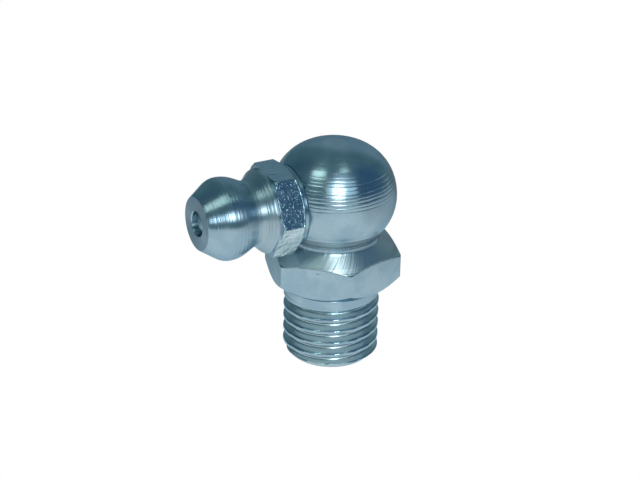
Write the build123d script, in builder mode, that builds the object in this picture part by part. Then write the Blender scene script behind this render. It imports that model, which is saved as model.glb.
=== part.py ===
"""Right-angle hydraulic grease nipple with a 5/16-24 UNF thread.

Millimetres. The origin lies on the thread axis, in the plane where the hexagon
seats on the housing. +Z runs up the body towards the ball, and the grease head
leans out along -X. The body and the grease head are two turned pieces pressed
together. A ball closes the mouth of the head from inside, under a coil spring.
"""
from build123d import *
import math
import os

# Threaded shank, with the thread's crests as its outside
thread_diameter = 7.9
shank_length = 7.0
neck_diameter = 7.5
neck_length = 0.5
neck_root_chamfer = 0.22
shank_tip_diameter = 6.6

# Body hexagon
body_across_flats = 10.1
body_corner_diameter = 11.58
body_corner_height = 2.51
body_rim_slope = 20.0
body_dome_diameter = 10.1
body_dome_slope = 31.0
body_foot_diameter = 10.05
body_foot_slope = 40.0
body_hex_turn = 16.2

# Ball of the body: a round band, with flatter arcs above and below it
ball_diameter = 10.24
ball_lift = 0.21
ball_crown_latitude = 15.4
ball_crown_radius = 4.24
ball_drop_radius = 4.25
ball_pole_diameter = 2.1
ball_root_fillet = 0.45

# Grease head, measured along its own axis from the spot face it seats on
head_axis_height = 7.0
spot_face_distance = 3.95
spot_face_diameter = 7.4
collar_diameter = 6.6
collar_length = 0.25
head_across_flats = 6.78
head_rear_slope = 31.0
head_corner_distance = 2.43
head_shoulder_diameter = 6.86
head_shoulder_distance = 2.51
head_flare_slope = 45.0
head_hex_turn = 2.5
waist_diameter = 5.06
waist_distance = 3.715
waist_fillet = 1.05
crest_diameter = 6.72
crest_rear_distance = 5.46
crest_rear_fillet = 2.7
crest_front_distance = 6.58
crest_front_fillet = 1.5
face_distance = 8.31
face_diameter = 4.38
face_fillet = 0.12

# Grease way through the head, and the press spigot behind it
mouth_diameter = 2.0
mouth_chamfer = 0.08
throat_length = 0.6
seat_half_angle = 30.0
valve_bore_diameter = 3.0
spigot_diameter = 4.6
spigot_length = 2.4
spigot_chamfer = 0.2
lip_thickness = 0.35
lip_opening_diameter = 1.5

# Grease way through the body
passage_diameter = 3.0
passage_chamfer = 0.25
drill_half_angle = 59.0
socket_end_gap = 0.15

# Check valve
check_ball_diameter = 2.5
seat_gap = 0.03
spring_wire_diameter = 0.3
spring_mean_diameter = 2.1
spring_pitch = 0.9
spring_ball_gap = 0.03

# Worked out from the sizes above
thread_radius = thread_diameter / 2
neck_radius = neck_diameter / 2
shank_tip_radius = shank_tip_diameter / 2
body_hex_radius = body_across_flats / 2 / math.cos(math.pi / 6)
body_corner_radius = body_corner_diameter / 2
body_foot_radius = body_foot_diameter / 2
body_foot_height = (body_corner_radius - body_foot_radius) * math.tan(math.radians(body_foot_slope))
body_dome_radius = body_dome_diameter / 2
body_dome_height = body_corner_height + (body_corner_radius - body_dome_radius) * math.tan(
    math.radians(body_rim_slope))
body_dome_apex = body_dome_height + body_dome_radius * math.tan(math.radians(body_dome_slope))
ball_centre_height = head_axis_height + ball_lift
ball_radius = ball_diameter / 2
pole_radius = ball_pole_diameter / 2
passage_radius = passage_diameter / 2
drill_tip_length = passage_radius / math.tan(math.radians(drill_half_angle))

# The ball's upper and lower arcs run on from its round band without a kink.
crown_offset = ball_radius - ball_crown_radius
crown_centre = (crown_offset * math.cos(math.radians(ball_crown_latitude)),
                ball_centre_height + crown_offset * math.sin(math.radians(ball_crown_latitude)))
crown_end_angle = math.degrees(math.acos((pole_radius - crown_centre[0]) / ball_crown_radius))
drop_centre = (ball_radius - ball_drop_radius, ball_centre_height)

head_corner_radius = head_across_flats / 2 / math.cos(math.pi / 6)
head_shoulder_radius = head_shoulder_diameter / 2
collar_radius = collar_diameter / 2
rear_corner_distance = collar_length + (head_corner_radius - collar_radius) * math.tan(
    math.radians(head_rear_slope))
flare_distance = waist_distance - (head_shoulder_radius - waist_diameter / 2) / math.tan(
    math.radians(head_flare_slope))
spigot_radius = spigot_diameter / 2
valve_bore_radius = valve_bore_diameter / 2
mouth_radius = mouth_diameter / 2
throat_distance = face_distance - throat_length
seat_cone_length = (valve_bore_radius - mouth_radius) / math.tan(math.radians(seat_half_angle))

# The ball's surface stays one seat gap away from the conical seat.
check_ball_radius = check_ball_diameter / 2
seat_apex_distance = throat_distance + mouth_radius / math.tan(math.radians(seat_half_angle))
check_ball_distance = seat_apex_distance - (check_ball_radius + seat_gap) / math.sin(
    math.radians(seat_half_angle))
spring_inner_radius = (spring_mean_diameter - spring_wire_diameter) / 2
spring_front = check_ball_distance - spring_ball_gap - math.sqrt(
    check_ball_radius ** 2 - spring_inner_radius ** 2)
spring_back = lip_thickness - spigot_length

# Planes and axes. On head_plane x runs out along the head and y is the radius;
# its zero is the spot face of the body.
head_origin = (-spot_face_distance, 0, head_axis_height)
head_plane = Plane(origin=head_origin, x_dir=(-1, 0, 0), z_dir=(0, 1, 0))
head_axis = Axis(head_origin, (-1, 0, 0))


def across_head(distance):
    """The plane square to the head's axis at a distance out from the spot face."""
    return Plane(origin=(-spot_face_distance - distance, 0, head_axis_height),
                 x_dir=(0, 1, 0), z_dir=(1, 0, 0))


# The turned body: shank, hexagon and ball, with its drilled grease ways
with BuildPart() as elbow_body:
    with BuildSketch(Plane.XZ) as blank:
        with BuildLine():
            Polyline(
                (0, -shank_length),
                (shank_tip_radius, -shank_length),
                (thread_radius, thread_radius - shank_tip_radius - shank_length),
                (thread_radius, -neck_length),
                (neck_radius, -neck_length),
                (neck_radius, -neck_root_chamfer),
                (neck_radius + neck_root_chamfer, 0),
                (body_foot_radius, 0),
                (body_corner_radius, body_foot_height),
                (body_corner_radius, body_corner_height),
                (body_dome_radius, body_dome_height),
                (0, body_dome_apex),
                close=True,
            )
        make_face()
        # half the ball's outline, from below up to the small flat at its pole
        with BuildLine():
            drop = CenterArc(drop_centre, ball_drop_radius, -90, 90)
            CenterArc((0, ball_centre_height), ball_radius, 0, ball_crown_latitude)
            crown = CenterArc(crown_centre, ball_crown_radius, ball_crown_latitude,
                              crown_end_angle - ball_crown_latitude)
            Polyline(crown @ 1, (0, (crown @ 1).Y), (0, (drop @ 0).Y), drop @ 0)
        make_face()
        ball_root = blank.vertices().filter_by_position(
            Axis.Z, body_dome_height, head_axis_height, inclusive=(False, False))
        fillet(ball_root, radius=ball_root_fillet)
    revolve(axis=Axis.Z)
    # flats
    with BuildSketch(Plane.XY):
        Circle(2 * body_hex_radius)
        RegularPolygon(body_hex_radius, side_count=6, rotation=body_hex_turn,
                       mode=Mode.SUBTRACT)
    extrude(amount=body_dome_height, mode=Mode.SUBTRACT)
    # spot face and stepped drilling for the head
    with BuildSketch(across_head(0)):
        Circle(spot_face_diameter / 2)
    extrude(amount=-ball_radius, mode=Mode.SUBTRACT)
    with BuildSketch(head_plane):
        with BuildLine():
            Polyline(
                (-spot_face_distance - drill_tip_length, 0),
                (-spot_face_distance, passage_radius),
                (-spigot_length - socket_end_gap, passage_radius),
                (-spigot_length - socket_end_gap, spigot_radius),
                (0, spigot_radius),
                (0, 0),
                close=True,
            )
        make_face()
    revolve(axis=head_axis, mode=Mode.SUBTRACT)
    # passage from the shank's end up to the crossing
    with BuildSketch(Plane.XZ):
        with BuildLine():
            Polyline(
                (0, -shank_length),
                (passage_radius + passage_chamfer, -shank_length),
                (passage_radius, passage_chamfer - shank_length),
                (passage_radius, head_axis_height),
                (0, head_axis_height + drill_tip_length),
                close=True,
            )
        make_face()
    revolve(axis=Axis.Z, mode=Mode.SUBTRACT)

# The hydraulic head: hexagon, waist and crest outside, valve way inside
with BuildPart() as grease_head:
    with BuildSketch(head_plane):
        with BuildLine():
            outline = FilletPolyline(
                (flare_distance, head_shoulder_radius),
                (waist_distance, waist_diameter / 2),
                (crest_rear_distance, crest_diameter / 2),
                (crest_front_distance, crest_diameter / 2),
                (face_distance, face_diameter / 2),
                (face_distance, mouth_radius + mouth_chamfer),
                radius=[waist_fillet, crest_rear_fillet, crest_front_fillet, face_fillet],
            )
            Polyline(
                outline @ 1,
                (face_distance - mouth_chamfer, mouth_radius),
                (throat_distance, mouth_radius),
                (throat_distance - seat_cone_length, valve_bore_radius),
                (spring_back, valve_bore_radius),
                (spring_back, lip_opening_diameter / 2),
                (-spigot_length, lip_opening_diameter / 2),
                (-spigot_length, spigot_radius - spigot_chamfer),
                (spigot_chamfer - spigot_length, spigot_radius),
                (0, spigot_radius),
                (0, collar_radius),
                (collar_length, collar_radius),
                (rear_corner_distance, head_corner_radius),
                (head_corner_distance, head_corner_radius),
                (head_shoulder_distance, head_shoulder_radius),
                outline @ 0,
            )
        make_face()
    revolve(axis=head_axis)
    # flats
    with BuildSketch(across_head(waist_distance)):
        Circle(2 * head_corner_radius)
        RegularPolygon(head_corner_radius, side_count=6, rotation=head_hex_turn,
                       mode=Mode.SUBTRACT)
    extrude(amount=waist_distance, mode=Mode.SUBTRACT)

# The ball that closes the mouth from inside
with BuildPart() as check_ball:
    with BuildSketch(head_plane):
        with BuildLine():
            ball_arc = CenterArc((check_ball_distance, 0), check_ball_radius, 0, 180)
            Line(ball_arc @ 1, ball_arc @ 0)
        make_face()
    revolve(axis=head_axis)

# The compression spring between the ball and the spigot's lip, with ground ends
spring_length = spring_front - spring_back
with BuildPart() as valve_spring:
    with BuildLine():
        coil = Helix(pitch=spring_pitch, height=spring_length + 2 * spring_wire_diameter,
                     radius=spring_mean_diameter / 2,
                     center=across_head(spring_back - spring_wire_diameter).origin,
                     direction=(-1, 0, 0))
    with BuildSketch(Plane(origin=coil @ 0, z_dir=coil % 0)):
        Circle(spring_wire_diameter / 2)
    sweep(path=coil, is_frenet=True)
    with BuildSketch(across_head(spring_front)):
        Circle(spring_mean_diameter)
    extrude(amount=spring_length, mode=Mode.INTERSECT)

os.makedirs("parts", exist_ok=True)
elbow_body.part.label = "elbow_body"
grease_head.part.label = "grease_head"
check_ball.part.label = "check_ball"
valve_spring.part.label = "valve_spring"
export_step(elbow_body.part, "parts/elbow_body.step")
export_step(grease_head.part, "parts/grease_head.step")
export_step(check_ball.part, "parts/check_ball.step")
export_step(valve_spring.part, "parts/valve_spring.step")
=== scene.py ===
"""Looks of the right-angle grease nipple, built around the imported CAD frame.

Lengths in the tables below are millimetres; meshes are scaled to metres.
"""
import math

import bpy
import numpy as np
from mathutils import Matrix, Vector


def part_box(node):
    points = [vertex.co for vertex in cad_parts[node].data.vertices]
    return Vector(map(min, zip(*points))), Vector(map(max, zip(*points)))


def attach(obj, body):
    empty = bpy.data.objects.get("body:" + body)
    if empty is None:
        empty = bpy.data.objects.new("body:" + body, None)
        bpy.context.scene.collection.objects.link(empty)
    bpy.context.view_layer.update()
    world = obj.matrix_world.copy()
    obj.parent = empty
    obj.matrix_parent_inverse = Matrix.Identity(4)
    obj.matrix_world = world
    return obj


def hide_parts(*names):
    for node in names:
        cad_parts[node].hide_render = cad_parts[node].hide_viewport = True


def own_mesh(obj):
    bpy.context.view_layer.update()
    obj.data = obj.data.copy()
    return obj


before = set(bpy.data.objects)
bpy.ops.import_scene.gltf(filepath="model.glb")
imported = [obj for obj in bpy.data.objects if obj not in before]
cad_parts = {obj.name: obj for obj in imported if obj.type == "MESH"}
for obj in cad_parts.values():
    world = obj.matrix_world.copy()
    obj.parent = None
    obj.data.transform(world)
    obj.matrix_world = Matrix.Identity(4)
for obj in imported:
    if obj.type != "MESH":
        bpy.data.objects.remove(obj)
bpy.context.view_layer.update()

MM = 0.001
HEAD_Z = 7.0          # height of the head's axis
SPOT_X = -3.95        # spot face that the head seats on
rad = math.radians


# ---------------------------------------------------------------- profiles
ARC_STEP = 0.12       # longest step round a large rounding
SAME = 1e-5           # points closer than this are one point


def rounded(rows, steps=4):
    """A polyline with arcs at its corners, its straight runs cut to a spacing.

    Each row is (r, z, rounding at the point, spacing of the run after it).
    """
    pts = [np.array(row[:2], float) for row in rows]
    radii = [row[2] for row in rows]
    spacing = [row[3] for row in rows]
    n = len(pts)
    ends = []
    for i, p in enumerate(pts):
        r = radii[i]
        if i in (0, n - 1) or r <= 0:
            ends.append((p, p, None))
            continue
        a, b = pts[i - 1] - p, pts[i + 1] - p
        a, b = a / np.linalg.norm(a), b / np.linalg.norm(b)
        half = math.acos(max(-1, min(1, float(a @ b)))) / 2
        cut = r / math.tan(half)
        c = p + (a + b) / np.linalg.norm(a + b) * (r / math.sin(half))
        ends.append((p + a * cut, p + b * cut, c))
    out = []
    for i in range(n):
        start, stop, c = ends[i]
        if c is None:
            out.append(start)
        else:
            u, v = start - c, stop - c
            a0 = math.atan2(u[1], u[0])
            turn = (math.atan2(v[1], v[0]) - a0 + math.pi) % (2 * math.pi) - math.pi
            k = max(2, steps, int(abs(turn) * radii[i] / ARC_STEP))
            for t in np.linspace(0, 1, k + 1):
                a = a0 + t * turn
                out.append(c + radii[i] * np.array([math.cos(a), math.sin(a)]))
        if i < n - 1:
            q = ends[i + 1][0]
            length = np.linalg.norm(q - stop)
            k = max(1, int(round(length / spacing[i])))
            for t in range(1, k):
                out.append(stop + (q - stop) * t / k)
    return distinct(out, SAME)


def distinct(points, gap):
    """The points without those that repeat the one before."""
    keep = [points[0]]
    for p in points[1:]:
        if np.linalg.norm(p - keep[-1]) > gap:
            keep.append(p)
    return keep


def arc(centre, radius, start, stop, spacing):
    """Points along an arc between two angles, in degrees."""
    k = max(2, int(round(abs(rad(stop - start)) * radius / spacing)))
    return [np.array([centre[0] + radius * math.cos(rad(a)), centre[1] + radius * math.sin(rad(a))])
            for a in np.linspace(start, stop, k + 1)]


def columns(corner, wide, fine, coarse):
    """Angles round a hexagon, closer together near its corners."""
    out = []
    for k in range(6):
        c = corner + 60 * k
        out += list(np.linspace(c - wide, c + wide, fine, endpoint=False))
        out += list(np.linspace(c + wide, c + 60 - wide, coarse, endpoint=False))
    return np.radians(np.array(out))


def hexagon(angles, apothem, corner):
    """Distance out to a hexagon's flats along each angle."""
    d = (np.degrees(angles) - corner) % 60 - 30
    return apothem / np.cos(np.radians(d))


def smooth_min(a, b, k):
    """The smaller of two lengths, blended over k; where they are equal it is k / 4 less."""
    h = np.clip(0.5 + 0.5 * (b - a) / k, 0, 1)
    return b + (a - b) * h - k * h * (1 - h)


def step(lo, hi, x):
    """0 below lo, 1 above hi, smooth between them."""
    t = np.clip((x - lo) / (hi - lo), 0, 1)
    return t * t * (3 - 2 * t)


def grid_faces(rows, cols, loop=False):
    """The four-sided faces of rows of vertices; each row closes on itself, and so do looped rows."""
    r = np.arange(rows if loop else rows - 1)
    c = np.arange(cols)
    i, j = np.meshgrid(r, c, indexing="ij")
    i2, j2 = (i + 1) % rows, (j + 1) % cols
    return np.stack([i * cols + j, i * cols + j2, i2 * cols + j2, i2 * cols + j], -1).reshape(-1, 4)


def make_mesh(name, verts, faces):
    mesh = bpy.data.meshes.new(name)
    mesh.from_pydata([tuple(v) for v in verts], [], [tuple(int(x) for x in f) for f in faces])
    mesh.validate()
    mesh.update()
    obj = bpy.data.objects.new(name, mesh)
    bpy.context.scene.collection.objects.link(obj)
    return obj


def closed_turning(name, R, along, angles, place):
    """A closed turned form from rings R[row, col]; the first and last rings close on the axis."""
    rows, cols = R.shape
    verts = place(R, np.repeat(along[:, None], cols, 1), angles[None, :]).reshape(-1, 3)
    faces = [tuple(f) for f in grid_faces(rows, cols)]
    lo, hi = len(verts), len(verts) + 1
    zero = np.zeros(1)
    verts = np.vstack([verts, place(zero, along[:1], zero), place(zero, along[-1:], zero)])
    last = (rows - 1) * cols
    for j in range(cols):
        k = (j + 1) % cols
        faces.append((k, j, lo))
        faces.append((last + j, last + k, hi))
    obj = make_mesh(name, verts, faces)
    outward(obj)
    return obj


def outward(obj):
    """Turns the faces of a closed mesh outward."""
    me = obj.data
    me.calc_loop_triangles()
    co = np.zeros(len(me.vertices) * 3)
    me.vertices.foreach_get("co", co)
    co = co.reshape(-1, 3)
    t = np.zeros(len(me.loop_triangles) * 3, int)
    me.loop_triangles.foreach_get("vertices", t)
    t = t.reshape(-1, 3)
    volume = np.einsum("ij,ij->i", co[t[:, 0]], np.cross(co[t[:, 1]], co[t[:, 2]])).sum()
    if volume < 0:
        me.flip_normals()


def about_z(r, z, a):
    """Places round the body's axis, from radius, height and angle."""
    return np.stack([r * np.cos(a), r * np.sin(a), z + 0 * a], -1)


def about_head(r, d, a):
    """Places round the head's axis, from radius, distance out of the spot face and angle."""
    return np.stack([SPOT_X - d + 0 * a, r * np.cos(a), HEAD_Z + r * np.sin(a)], -1)


def cut(obj, cutters):
    """Takes the cutters out of obj and removes them."""
    for c in cutters:
        m = obj.modifiers.new("cut", "BOOLEAN")
        m.operation, m.object = "DIFFERENCE", c
        m.solver = "MANIFOLD"
    bpy.context.view_layer.update()
    graph = bpy.context.evaluated_depsgraph_get()
    mesh = bpy.data.meshes.new_from_object(obj.evaluated_get(graph), depsgraph=graph)
    old = obj.data
    obj.modifiers.clear()
    obj.data = mesh
    mesh.name = obj.name
    bpy.data.meshes.remove(old)
    for c in cutters:
        me = c.data
        bpy.data.objects.remove(c)
        bpy.data.meshes.remove(me)


def finish_mesh(obj, sharp, flat):
    """Gives each face the material that flat() names, shades the mesh smooth and scales it to metres."""
    me = obj.data
    flags = np.array([int(flat(p.center, p.normal)) for p in me.polygons], np.int32)
    me.polygons.foreach_set("material_index", flags)
    me.transform(Matrix.Scale(MM, 4))
    me.shade_smooth()
    me.set_sharp_from_angle(angle=rad(sharp))


# ---------------------------------------------------------------- the body
END_Z = -7.0                                     # the shank's end
SHANK_R = 3.95
BODY_CORNER = 16.2                               # turn of the body's hexagon, degrees
HEX_R, HEX_APOTHEM, HEX_TOP = 5.79, 5.05, 2.51   # its turned outside, its flats, the dome's start
HEX_FADE = 0.14                                  # blend of the flats into the outside
FOOT_R = 5.025                                   # the hexagon's lower face, and the chamfer above it
FOOT_Z = (HEX_R - FOOT_R) * math.tan(rad(40))
DOME_LEAN, DOME_R = rad(20), 5.05                # the dome's first slope, and how far in it goes
DOME_Z = HEX_TOP + (HEX_R - DOME_R) * math.tan(DOME_LEAN)
ROOT_R, ROOT_LEAN = 0.45, 31                     # hollow fillet under the ball, the dome's slope there
BALL_Z = 7.21                                    # height where the ball is widest
BELT_R, BELT_TURN = 5.12, 15.4                   # above it: a true sphere for so many degrees
CROWN_R, POLE_R = 4.24, 1.05                     # then a tighter crown, up to the pole's disc
LOW_R = 4.25                                     # below it: a tighter arc, round (LOW_X, BALL_Z)
LOW_X = BELT_R - LOW_R
BALL_STEP = 0.2

PITCH = 25.4 / 24                                # 5/16-24 UNF
THREAD_AZIMUTH, THREAD_Z = -118.68, -2.43        # where one crest passes
CREST, GROOVE = 0.115, 0.56                      # half the crest's width, the groove's depth
THREAD_FADE = (-2.1, -1.0)                       # heights between which the thread runs out

PASSAGE_R = 1.5
DRILL_TIP = PASSAGE_R / math.tan(rad(59)) * 0.967    # a 118 degree point, less its last bit
TIP_R = 0.05
SOCKET_R, SOCKET_BASE = 2.3, -2.55               # the head's seat in the ball
SPOT_R = 3.7                                     # the spot face round it
CUT_COLUMNS = 96


def ball_root():
    """Centre of the hollow fillet between the dome and the ball, and the angles of its two ends."""
    lean = rad(ROOT_LEAN)

    def height(x):
        """Where the centre is, for its distance from the axis, if the fillet touches the dome."""
        return DOME_Z + (DOME_R - x) * math.tan(lean) + ROOT_R / math.cos(lean)

    def miss(x):
        """How far the fillet then stays from the ball."""
        return abs(math.hypot(x - LOW_X, height(x) - BALL_Z) - LOW_R - ROOT_R)

    x = min((3.5 + i * 0.0005 for i in range(4000)), key=miss)
    low = 270 - ROOT_LEAN          # towards the dome, square to its slope
    high = math.degrees(math.atan2(BALL_Z - height(x), LOW_X - x)) % 360
    return (x, height(x)), low, high


def body_profile():
    """The body's outline, from the middle of the shank's end to the pole."""
    centre, low, high = ball_root()
    fillet = arc(centre, ROOT_R, low, high, 0.055)
    rows = [
        (0.9, END_Z, 0, 0.8),
        (3.3, END_Z, 0.09, 0.08),
        (SHANK_R, -6.35, 0.12, 0.066),
        (SHANK_R, -0.66, 0.06, 0.07),
        (3.75, -0.5, 0.05, 0.12),
        (3.75, -0.22, 0.05, 0.07),
        (3.97, 0, 0.03, 0.3),
        (FOOT_R, 0, 0.07, 0.06),
        (HEX_R, FOOT_Z, 0.1, 0.2),
        (HEX_R, HEX_TOP, 0.1, 0.055),
        (DOME_R, DOME_Z, 0.2, 0.065),
        (fillet[0][0], fillet[0][1], 0, 0),
    ]
    start = math.degrees(math.atan2(fillet[-1][1] - BALL_Z, fillet[-1][0] - LOW_X))
    offset = BELT_R - CROWN_R
    crown = (offset * math.cos(rad(BELT_TURN)), BALL_Z + offset * math.sin(rad(BELT_TURN)))
    end = math.degrees(math.acos((POLE_R - crown[0]) / CROWN_R))
    ball = (arc((LOW_X, BALL_Z), LOW_R, start, 0, BALL_STEP)
            + arc((0, BALL_Z), BELT_R, 0, BELT_TURN, BALL_STEP)
            + arc(crown, CROWN_R, BELT_TURN, end - 1.2, BALL_STEP))
    pole_z = crown[1] + CROWN_R * math.sin(rad(end))
    pole = [np.array(p) for p in ((POLE_R, pole_z - 0.003), (0.98, pole_z), (0.5, pole_z))]
    return np.array(distinct(rounded(rows) + fillet + ball + pole, 10 * SAME))


def thread_depth(z, a):
    """How far the thread's groove goes in at a height and an angle."""
    turn = ((np.degrees(a) - THREAD_AZIMUTH + 180) % 360 - 180) / 360
    u = (z - THREAD_Z) / PITCH - turn
    t = np.abs(u - np.round(u)) * PITCH            # distance from the crest's middle
    d = smooth_min((t - CREST) / math.tan(rad(30)), GROOVE, 0.16)
    d = -smooth_min(-d, 0, 0.09)
    return np.clip(d, 0, None) * (1 - step(*THREAD_FADE, z))


def build_body():
    """The turned body with its hexagon and thread, and the passage, socket and spot face cut in."""
    profile = body_profile()
    z = profile[:, 1]
    a = columns(BODY_CORNER, wide=3.6, fine=12, coarse=36)
    r = np.repeat(profile[:, :1], len(a), 1)
    zz, aa = np.meshgrid(z, a, indexing="ij")
    threaded = SHANK_R - thread_depth(zz, aa)
    shank = (zz < -0.55) & (zz > END_Z + SAME)
    blend = 0.05
    on_crest = threaded > SHANK_R - blend
    r = np.where(shank, smooth_min(r, threaded, blend) + blend / 4 * on_crest, r)
    hexed = (zz > SAME) & (zz < 3.2)
    r = np.where(hexed, smooth_min(r, hexagon(aa, HEX_APOTHEM, BODY_CORNER), HEX_FADE), r)
    r = np.minimum(r, HEX_R)
    body = closed_turning("nipple_body", r, z, a, about_z)

    def cutter(name, pairs, place):
        p = np.array(pairs, float)
        around = np.linspace(0, 2 * math.pi, CUT_COLUMNS, endpoint=False)
        return closed_turning(name, np.repeat(p[:, :1], CUT_COLUMNS, 1), p[:, 1], around, place)

    passage = [(2.25, END_Z - 0.5), (1.75, END_Z), (PASSAGE_R, END_Z + 0.25), (PASSAGE_R, HEAD_Z),
               (TIP_R, HEAD_Z + DRILL_TIP)]
    socket = [(TIP_R, SPOT_X - DRILL_TIP), (PASSAGE_R, SPOT_X), (PASSAGE_R, SOCKET_BASE),
              (SOCKET_R, SOCKET_BASE), (SOCKET_R, 0.4)]
    cut(body, [cutter("passage_cut", passage, about_z), cutter("socket_cut", socket, about_head),
               cutter("spot_cut", [(SPOT_R, 0), (SPOT_R, 4)], about_head)])

    def flat(c, n):
        """1 on the hexagon's flats."""
        return 0 < c.z < 2.85 and abs(n.z) < 0.12 and 4.9 < math.hypot(c.x, c.y) < 5.78

    finish_mesh(body, 38, flat)
    return body


# ---------------------------------------------------------------- the grease head
HEAD_CORNER = 2.5                              # turn of the head's hexagon, degrees
HEAD_HEX_R, HEAD_APOTHEM = 3.9144, 3.39        # its turned outside and its flats
REAR_R, REAR = 3.3, 0.34                       # where its rear chamfer starts
REAR_LEAN = math.tan(rad(31))                  # and that chamfer's slope
MOUTH_R, VALVE_R, LIP_R = 1.0, 1.5, 0.75
FACE, LIP, SPIGOT = 8.31, -2.05, -2.4          # distances out of the spot face


def head_profile():
    """The head's outline: outside from the spot face to the flat face, then back through the bore."""
    return np.array(rounded([
        (SOCKET_R, 0, 0, 0.6),
        (REAR_R, 0, 0.05, 0.12),
        (REAR_R, REAR, 0.08, 0.05),
        (HEAD_HEX_R, REAR + (HEAD_HEX_R - REAR_R) * REAR_LEAN, 0.05, 0.14),
        (HEAD_HEX_R, 2.335, 0.05, 0.05),
        (3.74, 2.505, 0.04, 0.05),
        (3.43, 2.52, 0.03, 0.06),
        (3.43, 2.815, 0.3, 0.09),
        (2.53, 3.715, 0.85, 0.09),
        (3.36, 5.46, 2.7, 0.12),
        (3.36, 6.58, 1.5, 0.08),
        (2.19, FACE, 0.12, 0.14),
        (1.08, FACE, 0.03, 0.05),
        (MOUTH_R, 8.23, 0.03, 0.15),
        (MOUTH_R, 7.71, 0.04, 0.15),
        (VALVE_R, 6.844, 0.08, 1.5),
        (VALVE_R, LIP, 0, 0.4),
        (LIP_R, LIP, 0, 0.2),
        (LIP_R, SPIGOT, 0, 0.6),
        (2.1, SPIGOT, 0.04, 0.1),
        (SOCKET_R, -2.2, 0.04, 0.8),
        (SOCKET_R, -0.02, 0, 0),
    ]))


def build_head():
    """The turned head with its hexagon and its bore."""
    profile = head_profile()
    a = columns(HEAD_CORNER, wide=4.5, fine=16, coarse=32)
    r = np.repeat(profile[:, :1], len(a), 1)
    dd, aa = np.meshgrid(profile[:, 1], a, indexing="ij")
    outer = (r > 2.0) & (dd > 0.01) & (dd < 3.7)
    r = np.where(outer, smooth_min(r, hexagon(aa, HEAD_APOTHEM, HEAD_CORNER), 0.09), r)
    verts = about_head(r, dd, aa).reshape(-1, 3)
    head = make_mesh("nipple_head", verts, grid_faces(*r.shape, loop=True))
    outward(head)

    def flat(c, n):
        """1 on the hexagon's flats, 2 on the lower front one, which was left coarse; its paler colour is
        a painted reflection.
        """
        radius = math.hypot(c.y, c.z - HEAD_Z)
        if abs(n.x) > 0.12 or not (SPOT_X - 2.6 < c.x < SPOT_X - 0.2 and REAR_R < radius < 3.9):
            return 0
        return 2 if n.y < -0.7 and n.z < -0.4 else 1

    finish_mesh(head, 50, flat)
    return head


# ---------------------------------------------------------------- the spring
WIRE, COIL_R, COIL_PITCH = 0.3, 1.05, 0.9
COIL_START = rad(270)
WIRE_SIDES, COIL_STEPS = 14, 40                # faces round the wire, steps round a turn


def block(name, x0, x1, half):
    """A box round the head's axis between two places along x."""
    corners = [(x, y, HEAD_Z + z) for x in (x0, x1) for y in (-half, half) for z in (-half, half)]
    sides = [(0, 1, 3, 2), (4, 6, 7, 5), (0, 4, 5, 1), (2, 3, 7, 6), (0, 2, 6, 4), (1, 5, 7, 3)]
    obj = make_mesh(name, corners, sides)
    outward(obj)
    return obj


def build_spring(front, back):
    """Round wire wound from behind the back plane past the front one, then ground flat at both."""
    length = back - front + 2 * WIRE
    turns = length / COIL_PITCH
    t = np.linspace(0, turns * 2 * math.pi, int(turns * COIL_STEPS))[:, None]
    round_wire = np.linspace(0, 2 * math.pi, WIRE_SIDES, endpoint=False)[None, :]
    angle = COIL_START - t
    rise = COIL_PITCH / (2 * math.pi)
    lean = math.atan2(rise, COIL_R)
    out, up = WIRE / 2 * np.cos(round_wire), WIRE / 2 * np.sin(round_wire)
    x = back + WIRE - rise * t - up * math.cos(lean)
    side = up * math.sin(lean)
    y = (COIL_R + out) * np.cos(angle) - side * np.sin(angle)
    z = HEAD_Z + (COIL_R + out) * np.sin(angle) + side * np.cos(angle)
    rows, cols = x.shape
    faces = [tuple(f) for f in grid_faces(rows, cols)]
    faces += [tuple(range(cols - 1, -1, -1)), tuple(range((rows - 1) * cols, rows * cols))]
    spring = make_mesh("coil_spring", np.stack([x, y, z], -1).reshape(-1, 3), faces)
    outward(spring)
    cut(spring, [block("ground_front", front - 2, front, 2), block("ground_back", back, back + 2, 2)])
    finish_mesh(spring, 40, lambda c, n: 0)
    return spring


# ---------------------------------------------------------------- materials
ZINC_LIGHT, ZINC_DARK = (0.34, 0.48, 0.56, 1), (0.27, 0.41, 0.50, 1)
PALE = (0.50, 0.62, 0.65, 1)             # a paler colour: painted highlight and painted reflection on the dome, fillet, thread grooves and flare; on the pole's disc just paler
STAIN = (0.045, 0.10, 0.14, 1)           # the bottom of a nick
EDGE_TINT = (0.55, 0.68, 0.76, 1)        # what it mirrors at a low angle
QUARTER_TURN = 0.25
GROOVE_PITCH, GROOVE_DEPTH = 0.31, 0.02  # turned grooves round the ball
DOME_SPAN, ROOT_SPAN = (2.54, 4.0), (4.0, 5.0)   # heights of the dome and of the fillet above it


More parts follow.
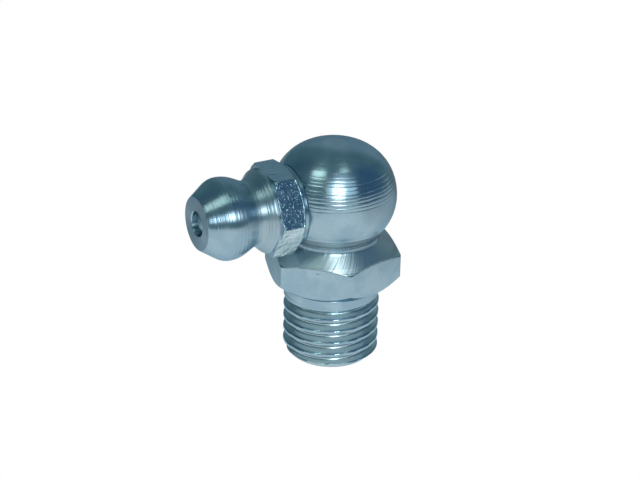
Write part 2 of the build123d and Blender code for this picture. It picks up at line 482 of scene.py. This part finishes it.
class Nodes:
    """Short calls for building a node tree."""

    def __init__(self, tree):
        self.tree = tree

    def new(self, kind, **settings):
        n = self.tree.nodes.new(kind)
        for k, v in settings.items():
            setattr(n, k, v)
        return n

    def put(self, socket, value):
        if isinstance(value, bpy.types.NodeSocket):
            self.tree.links.new(value, socket)
        else:
            socket.default_value = value

    def math(self, op, a, b=None, clamp=False):
        n = self.new("ShaderNodeMath", operation=op, use_clamp=clamp)
        for i, v in enumerate((a, b)):
            if v is not None:
                self.put(n.inputs[i], v)
        return n.outputs[0]

    def add(self, a, b, clamp=False):
        return self.math("ADD", a, b, clamp=clamp)

    def sub(self, a, b):
        return self.math("SUBTRACT", a, b)

    def mul(self, a, b):
        return self.math("MULTIPLY", a, b)

    def most(self, a, b):
        return self.math("MAXIMUM", a, b)

    def length(self, a, b):
        """The distance from 0 of the place (a, b)."""
        return self.math("SQRT", self.add(self.mul(a, a), self.mul(b, b)))

    def ramp(self, value, lo, hi, out_lo=0.0, out_hi=1.0, smooth=True):
        n = self.new("ShaderNodeMapRange", interpolation_type="SMOOTHSTEP" if smooth else "LINEAR")
        for i, v in enumerate((value, lo, hi, out_lo, out_hi)):
            self.put(n.inputs[i], v)
        return n.outputs[0]

    def noise(self, scale, detail=2.0, rough=0.5, vector=None, w=None, dims="3D"):
        n = self.new("ShaderNodeTexNoise", noise_dimensions=dims)
        n.inputs["Scale"].default_value = scale
        n.inputs["Detail"].default_value = detail
        n.inputs["Roughness"].default_value = rough
        if vector is not None:
            self.put(n.inputs["Vector"], vector)
        if w is not None:
            self.put(n.inputs["W"], w)
        return n.outputs["Fac"]

    def mix(self, fac, a, b):
        n = self.new("ShaderNodeMix", data_type="RGBA")
        self.put(n.inputs[0], fac)
        self.put(n.inputs[6], a)
        self.put(n.inputs[7], b)
        return n.outputs[2]

    def split(self, vector):
        n = self.new("ShaderNodeSeparateXYZ")
        self.put(n.inputs[0], vector)
        return n.outputs

    def place(self):
        """The place on the object in mm, as one vector and as its x, y and z."""
        n = self.new("ShaderNodeVectorMath", operation="MULTIPLY")
        self.put(n.inputs[0], self.new("ShaderNodeTexCoord").outputs["Object"])
        n.inputs[1].default_value = (1 / MM, 1 / MM, 1 / MM)
        return n.outputs[0], self.split(n.outputs[0])


def metal(name, light, dark, rough, marks, grain_depth=0.0012, lathe=None, comb=0.0, zone=None,
          stain=None):
    """Steel, plated or bare. marks(n, mm, xyz) gives the height of the tool marks, in mm.

    lathe is the axis that the piece was turned about: its fine rings spread each highlight across
    them, as strongly as comb says. zone(n, xyz) gives how pale a place is, 0 to 1, and how much
    rougher; stain(n, xyz) how dark.
    """
    m = bpy.data.materials.new(name)
    m.use_nodes = True
    n = Nodes(m.node_tree)
    bsdf = m.node_tree.nodes["Principled BSDF"]
    mm, xyz = n.place()
    cloud = n.noise(0.55, 3, 0.55, vector=mm)
    grain = n.noise(9.0, 3, 0.6, vector=mm)
    colour = n.mix(n.ramp(cloud, 0.35, 0.68), dark, light)
    spread = n.add(n.ramp(cloud, 0.3, 0.7, rough - 0.03, rough + 0.03),
                   n.ramp(grain, 0.3, 0.7, -0.01, 0.01))
    if zone:
        pale, coarse = zone(n, xyz)
        colour = n.mix(pale, colour, PALE)
        spread = n.add(spread, coarse)
    if stain:
        colour = n.mix(stain(n, xyz), colour, STAIN)
    n.put(bsdf.inputs["Base Color"], colour)
    n.put(bsdf.inputs["Roughness"], spread)
    bsdf.inputs["Metallic"].default_value = 1.0
    bsdf.inputs["Specular Tint"].default_value = EDGE_TINT
    height = marks(n, mm, xyz)
    if lathe:
        bsdf.inputs["Anisotropic"].default_value = comb
        bsdf.inputs["Anisotropic Rotation"].default_value = QUARTER_TURN
        way = n.new("ShaderNodeTangent", direction_type="RADIAL", axis=lathe)
        n.put(bsdf.inputs["Tangent"], way.outputs[0])
    speckle = n.mul(n.noise(7.0, 4, 0.65, vector=mm), grain_depth)
    bump = n.new("ShaderNodeBump")
    bump.inputs["Strength"].default_value = 1.0
    bump.inputs["Distance"].default_value = MM
    n.put(bump.inputs["Height"], n.add(height, speckle))
    n.put(bsdf.inputs["Normal"], bump.outputs[0])
    return m


def span(n, value, lo, hi, soft):
    """1 between lo and hi, 0 outside them."""
    return n.mul(n.ramp(value, lo - soft, lo + soft), n.ramp(value, hi - soft, hi + soft, 1.0, 0.0))


def body_zone(n, xyz):
    """Paler, rougher places. The paler colour is a painted highlight on the dome and in the fillet above
    it, and a painted reflection that lightens the thread's grooves; the pole's disc is just a little
    paler.
    """
    x, y, z = xyz
    radius = n.length(x, y)
    dome = n.mul(span(n, z, *DOME_SPAN, 0.04), n.ramp(radius, 3.75, 3.95))
    # painted reflection: the thread's grooves are paled
    groove = n.mul(n.ramp(z, -0.9, -1.1), n.ramp(radius, 3.86, 3.78, 0.0, 0.75))
    crown = n.mul(n.ramp(z, 11.3, 11.5), n.ramp(radius, 1.03, 0.99, 0.0, 0.3))
    root = n.mul(span(n, z, *ROOT_SPAN, 0.25), n.ramp(radius, 4.6, 4.2))
    # painted highlight on the dome and in the fillet above it
    painted_sheen = n.most(n.mul(dome, 0.75), n.mul(root, 0.6))
    pale = n.most(n.most(painted_sheen, groove), crown)
    return pale, n.most(n.mul(dome, 0.14), n.mul(root, 0.12))


def body_marks(n, mm, xyz):
    """Turned grooves round the ball, chatter on the dome, fine rings elsewhere."""
    x, y, z = xyz
    radius = n.length(x, y)
    # grooves round the ball: they wander a little, and their depth changes from one to the next
    wander = n.add(n.mul(n.noise(0.35, 1, vector=mm), 0.25),
                   n.mul(n.noise(1.3, 1, 0.5, w=z, dims="1D"), 0.3))
    wave = n.math("SINE", n.mul(n.add(z, wander), 2 * math.pi / GROOVE_PITCH))
    ridge = n.math("POWER", n.add(n.mul(wave, 0.5), 0.5), 2.5)
    depth = n.ramp(n.noise(0.8, 2, 0.6, w=z, dims="1D"), 0.3, 0.6, 0.6, 1.0)
    patchy = n.ramp(n.noise(0.4, 2, 0.6, vector=mm), 0.36, 0.52, 0.5, 1.0)
    strong = n.mul(span(n, z, 7.75, 9.9, 0.15), n.mul(depth, patchy))
    faint = n.mul(span(n, z, 9.9, 11.6, 0.15), n.ramp(z, 10.1, 10.5, 0.32, 0.16))
    grooves = n.mul(n.mul(ridge, n.add(strong, faint)), -GROOVE_DEPTH)
    # chatter: strokes that run down the dome, slightly askew
    askew = n.add(n.math("ARCTAN2", y, x), n.mul(radius, 0.12))
    dome = n.mul(span(n, z, DOME_SPAN[0], 4.05, 0.04), n.ramp(radius, 3.2, 3.5))
    chatter = n.mul(n.noise(13.0, 2, 0.6, w=askew, dims="1D"), dome)
    # the surface's slight lean outward, more of it on the dome
    swell = n.add(n.ramp(radius, 3.6, 5.0, 0.0, -0.22, smooth=False),
                  n.ramp(radius, 5.0, 5.8, 0.0, -0.34, smooth=False))
    more = n.mul(n.ramp(radius, 3.6, 5.4, 0.0, -0.6, smooth=False), n.ramp(z, 4.3, 4.1))
    lean = n.mul(n.add(swell, more), n.ramp(z, 2.5, 2.55))
    # rings all over, and coarser ones in the fillet
    fine = n.mul(n.noise(12.0, 2, 0.6, w=n.add(z, radius), dims="1D"), 0.002)
    root = n.mul(n.mul(n.noise(5.0, 2, 0.6, w=z, dims="1D"), span(n, z, *ROOT_SPAN, 0.2)), 0.09)
    return n.add(n.add(n.add(grooves, root), n.mul(chatter, 0.03)), n.add(fine, lean))


def head_marks(n, mm, xyz):
    """Rings left by turning, round the head's own axis."""
    x, y, z = xyz
    radius = n.length(y, n.sub(z, HEAD_Z))
    along = n.add(n.mul(radius, 0.6), x)
    coarse = n.mul(n.noise(4.5, 1, 0.5, w=along, dims="1D"), 0.032)
    turned = n.add(coarse, n.mul(n.noise(12.0, 2, 0.6, w=along, dims="1D"), 0.008))
    outside = n.mul(n.ramp(radius, 1.3, 1.4), n.ramp(x, -12.2, -12.1))
    flare = n.add(span(n, x, -7.65, -6.6, 0.2), 1.0)
    return n.mul(n.mul(turned, flare), outside)


def head_zone(n, xyz):
    """The flare and the waist are a little rougher than the rest, and paler: a painted highlight that
    widens the flare's and lightens the waist.
    """
    flare = span(n, xyz[0], -8.2, -6.6, 0.25)
    # painted highlight on the flare and the waist
    return n.mul(flare, 0.35), n.mul(flare, 0.12)


def flat_marks(n, mm, xyz):
    """Bar stock: a little waviness, scattered shallow pits, a burr and an eased edge."""
    x, y, z = xyz
    on_head = n.ramp(z, 3.0, 3.4)
    wave = n.mul(n.noise(0.9, 2, 0.5, vector=mm), 0.008)
    pits = n.ramp(n.noise(6.5, 2, 0.6, vector=mm), 0.58, 0.68, 0.0, -0.012)
    patchy = n.ramp(n.noise(3.0, 2, 0.6, vector=mm), 0.35, 0.6, 0.25, 1.0)
    # how far a place is in front of the rear chamfer of the head's hexagon, and the burr there
    radius = n.length(y, n.sub(z, HEAD_Z))
    ahead = n.sub(n.mul(n.add(x, -SPOT_X + REAR), -1.0), n.mul(n.sub(radius, REAR_R), REAR_LEAN))
    burr = n.mul(n.ramp(ahead, 0.11, 0.01, 0.0, 0.024), n.mul(on_head, patchy))
    # how far a place is below the dome of the body's hexagon, and the eased edge there
    dome = n.mul(n.sub(HEX_R, n.length(x, y)), math.tan(DOME_LEAN))
    below = n.sub(dome, n.sub(z, HEX_TOP))
    eased = n.mul(n.ramp(below, 0.0, 0.1, -0.032, 0.0), n.mul(n.ramp(z, 1.5, 2.0), patchy))
    eased = n.mul(eased, n.ramp(z, 3.0, 3.4, 1.0, 0.0))
    dents = n.mul(flat_stains(n, xyz), -0.02)
    return n.add(n.add(wave, n.add(burr, eased)), n.add(dents, n.mul(pits, on_head)))


def mark(n, across, up, long, wide):
    """1 inside a small stroke, given the place along and across it and its length and width."""
    size = n.length(n.math("DIVIDE", across, long), n.math("DIVIDE", up, wide))
    return n.ramp(size, 1.15, 0.5)


def flat_stains(n, xyz):
    """A nick under the edge of the body's front flat and a scratch on the head's top flat."""
    x, y, z = xyz
    nick = n.mul(mark(n, n.add(x, 3.55), n.sub(z, 2.37), 0.32, 0.055), n.ramp(y, -3.5, -4.0))
    dx, dy = n.add(x, 6.0), n.add(y, 0.73)
    c, s = 0.918, 0.396          # the scratch runs askew
    along = n.sub(n.mul(dx, c), n.mul(dy, s))
    aside = n.add(n.mul(dx, s), n.mul(dy, c))
    scratch = n.mul(mark(n, along, aside, 0.42, 0.07), n.ramp(z, 10.0, 10.2, 0.0, 0.6))
    return n.add(nick, scratch)


def torn_marks(n, mm, xyz):
    """A flat left rough by the saw: lumps, and a slight lean towards the floor in front."""
    x, y, z = xyz
    lumps = n.mul(n.noise(1.9, 3, 0.6, vector=mm), 0.14)
    lean = n.mul(n.sub(n.mul(y, 0.537), n.mul(z, 0.843)), 0.2)
    return n.add(lumps, lean)


def plain_marks(n, mm, xyz):
    """A slight waviness."""
    return n.mul(n.noise(3.0, 2, 0.5, vector=mm), 0.004)


body_metal = metal("zinc_turned_body", ZINC_LIGHT, ZINC_DARK, 0.24, body_marks,
                   lathe="Z", comb=0.7, zone=body_zone)
head_metal = metal("zinc_turned_head", ZINC_LIGHT, ZINC_DARK, 0.29, head_marks,
                   lathe="X", comb=0.88, zone=head_zone)
flat_metal = metal("zinc_drawn_flats", ZINC_LIGHT, ZINC_DARK, 0.16, flat_marks,
                   grain_depth=0.004, stain=flat_stains)
# the coarse flat's pale colours are a painted reflection; its roughness and lumps are its own
torn_metal_painted_sheen = metal("zinc_coarse_flat_painted_sheen", (0.60, 0.72, 0.75, 1), (0.42, 0.55, 0.60, 1), 0.26, torn_marks,
                   grain_depth=0.01)
ball_metal = metal("valve_ball_steel", (0.27, 0.41, 0.48, 1), (0.21, 0.34, 0.41, 1), 0.32, plain_marks)
spring_metal = metal("valve_spring_steel", (0.45, 0.47, 0.50, 1), (0.33, 0.35, 0.38, 1), 0.3,
                     plain_marks)


def dress(obj, *materials):
    """Gives obj its materials in place of any it has, and keeps which face has which."""
    polygons = obj.data.polygons
    index = np.zeros(len(polygons), np.int32)
    polygons.foreach_get("material_index", index)
    obj.data.materials.clear()
    for m in materials:
        obj.data.materials.append(m)
    polygons.foreach_set("material_index", np.minimum(index, len(materials) - 1))


# ---------------------------------------------------------------- pieces
body = build_body()
dress(body, body_metal, flat_metal)
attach(body, "nipple")
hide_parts("elbow_body")

head = build_head()
dress(head, head_metal, flat_metal, torn_metal_painted_sheen)
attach(head, "nipple")
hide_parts("grease_head")

dress(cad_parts["check_ball"], ball_metal)

spring_low, spring_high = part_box("valve_spring")
spring = build_spring(spring_low.x / MM, spring_high.x / MM)
dress(spring, spring_metal)
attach(spring, "nipple")
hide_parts("valve_spring")
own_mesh(spring)


# ---------------------------------------------------------------- floor, background, light
FLOOR_Z = END_Z * MM - 0.00001           # just under the shank's end, in metres
FLOOR_RINGS, FLOOR_COLUMNS = (0.02, 0.06, 0.14), 128
WHITE = (1, 1, 1, 1)


def heading(azimuth, elevation):
    """The direction that an azimuth and an elevation in degrees point in."""
    a, e = rad(azimuth), rad(elevation)
    return Vector((math.cos(e) * math.cos(a), math.cos(e) * math.sin(a), math.sin(e)))


def make_floor():
    """A pale round floor, white to the camera; the metal sees it glow with painted light, brightest in
    front and falling off behind and to the right.
    """
    angles = np.linspace(0, 2 * math.pi, FLOOR_COLUMNS, endpoint=False)
    verts = [(r * math.cos(a), r * math.sin(a), FLOOR_Z) for r in FLOOR_RINGS for a in angles]
    verts.append((0, 0, FLOOR_Z))
    faces = [tuple(f) for f in grid_faces(len(FLOOR_RINGS), FLOOR_COLUMNS)]
    faces += [((j + 1) % FLOOR_COLUMNS, j, len(verts) - 1) for j in range(FLOOR_COLUMNS)]
    obj = make_mesh("studio_floor", verts, faces)
    m = bpy.data.materials.new("pale_floor")
    m.use_nodes = True
    t = m.node_tree
    n = Nodes(t)
    bsdf = t.nodes["Principled BSDF"]
    bsdf.inputs["Base Color"].default_value = (0.85, 0.85, 0.85, 1)
    bsdf.inputs["Roughness"].default_value = 0.9
    path = n.new("ShaderNodeLightPath").outputs
    in_metal = n.add(path["Is Glossy Ray"], path["Is Transmission Ray"])
    seen = n.add(path["Is Camera Ray"], in_metal, clamp=True)
    glow = n.new("ShaderNodeEmission")
    glow.inputs["Color"].default_value = WHITE
    x, y, _ = n.place()[1]
    # painted light: a falloff and shade on the floor as the metal sees it
    painted_floor_falloff = n.mul(n.ramp(y, 2, 26, 1.0, 0.5), n.ramp(x, 5, 35, 1.0, 0.65))
    n.put(glow.inputs["Strength"], n.most(painted_floor_falloff, n.mul(path["Is Camera Ray"], 1.02)))
    both = n.new("ShaderNodeMixShader")
    n.put(both.inputs[0], n.mul(seen, 0.97))
    n.put(both.inputs[1], bsdf.outputs[0])
    n.put(both.inputs[2], glow.outputs[0])
    n.put(t.nodes["Material Output"].inputs["Surface"], both.outputs[0])
    dress(obj, m)


def make_world():
    """A dim blue-grey studio that the metal mirrors, white to the camera."""
    w = bpy.data.worlds.new("studio")
    bpy.context.scene.world = w
    w.use_nodes = True
    t = w.node_tree
    n = Nodes(t)
    way = n.new("ShaderNodeTexCoord").outputs["Generated"]
    below = n.ramp(n.split(way)[2], -0.22, -0.08, 1.0, 0.0)

    def toward(azimuth, elevation, inner, outer):
        """1 within an angle of a direction, 0 past another angle."""
        dot = n.new("ShaderNodeVectorMath", operation="DOT_PRODUCT")
        n.put(dot.inputs[0], way)
        dot.inputs[1].default_value = heading(azimuth, elevation)
        return n.ramp(dot.outputs["Value"], math.cos(rad(outer)), math.cos(rad(inner)))

    studio = (0.145, 0.235, 0.26, 1)
    studio = n.mix(toward(138, 38, 10, 45), studio, (0.085, 0.16, 0.20, 1))
    studio = n.mix(toward(-40, 26, 14, 50), studio, (0.08, 0.16, 0.25, 1))
    studio = n.mix(toward(50, 12, 14, 38), studio, (0.32, 0.40, 0.44, 1))
    room = n.mix(below, studio, (0.7, 0.72, 0.73, 1))
    path = n.new("ShaderNodeLightPath").outputs
    in_metal = n.add(path["Is Glossy Ray"], path["Is Transmission Ray"], clamp=True)
    seen = n.add(path["Is Camera Ray"], n.mul(in_metal, below), clamp=True)
    back = t.nodes["Background"]
    n.put(back.inputs["Color"], n.mix(seen, room, WHITE))
    back.inputs["Strength"].default_value = 1.0


def softbox(name, azimuth, elevation, width, height, radiance, colour, distance=0.5):
    """A soft area light that faces the nipple from a direction, with a width and height in degrees."""
    target = Vector((0, 0, 0.005))
    out = heading(azimuth, elevation)
    data = bpy.data.lights.new(name, "AREA")
    data.shape = "ELLIPSE"
    data.size = 2 * distance * math.tan(rad(width / 2))
    data.size_y = 2 * distance * math.tan(rad(height / 2))
    data.color = colour
    data.energy = radiance * math.pi * (math.pi / 4 * data.size * data.size_y)
    obj = bpy.data.objects.new(name, data)
    bpy.context.scene.collection.objects.link(obj)
    obj.location = target + out * distance
    obj.rotation_euler = out.to_track_quat("Z", "Y").to_euler()
    obj.visible_camera = False


make_floor()
make_world()
# name, azimuth, elevation, width, height, radiance, colour, distance
softbox("main_light", -108.5, 25.5, 22, 16, 10.0, (1.0, 1.0, 1.0))
softbox("main_glow", -103, 27.5, 60, 26, 1.45, (0.9, 0.97, 1.0), 0.52)
softbox("left_light", -170, 56, 24, 30, 2.1, (0.9, 1.0, 0.84))
softbox("top_light", -68, 71, 16, 12, 1.7, (0.9, 1.0, 0.86))

# ---------------------------------------------------------------- camera
cam_data = bpy.data.cameras.new("camera")
cam_data.sensor_width = 36.0
cam_data.lens = 118.50996626
cam_data.clip_start = 0.001
cam_data.clip_end = 10.0
camera = bpy.data.objects.new("camera", cam_data)
bpy.context.scene.collection.objects.link(camera)
right = (0.88198847, -0.47079487, 0.02117829)
up = (0.18760393, 0.39197249, 0.90064551)
back = (-0.4323206, -0.79038583, 0.43403818)
place = (-0.07548473822, -0.13584840786, 0.07790691543)
turn = Matrix((right, up, back)).transposed().to_4x4()
camera.matrix_world = Matrix.Translation(place) @ turn
bpy.context.scene.camera = camera
bpy.context.scene.view_settings.view_transform = "Standard"
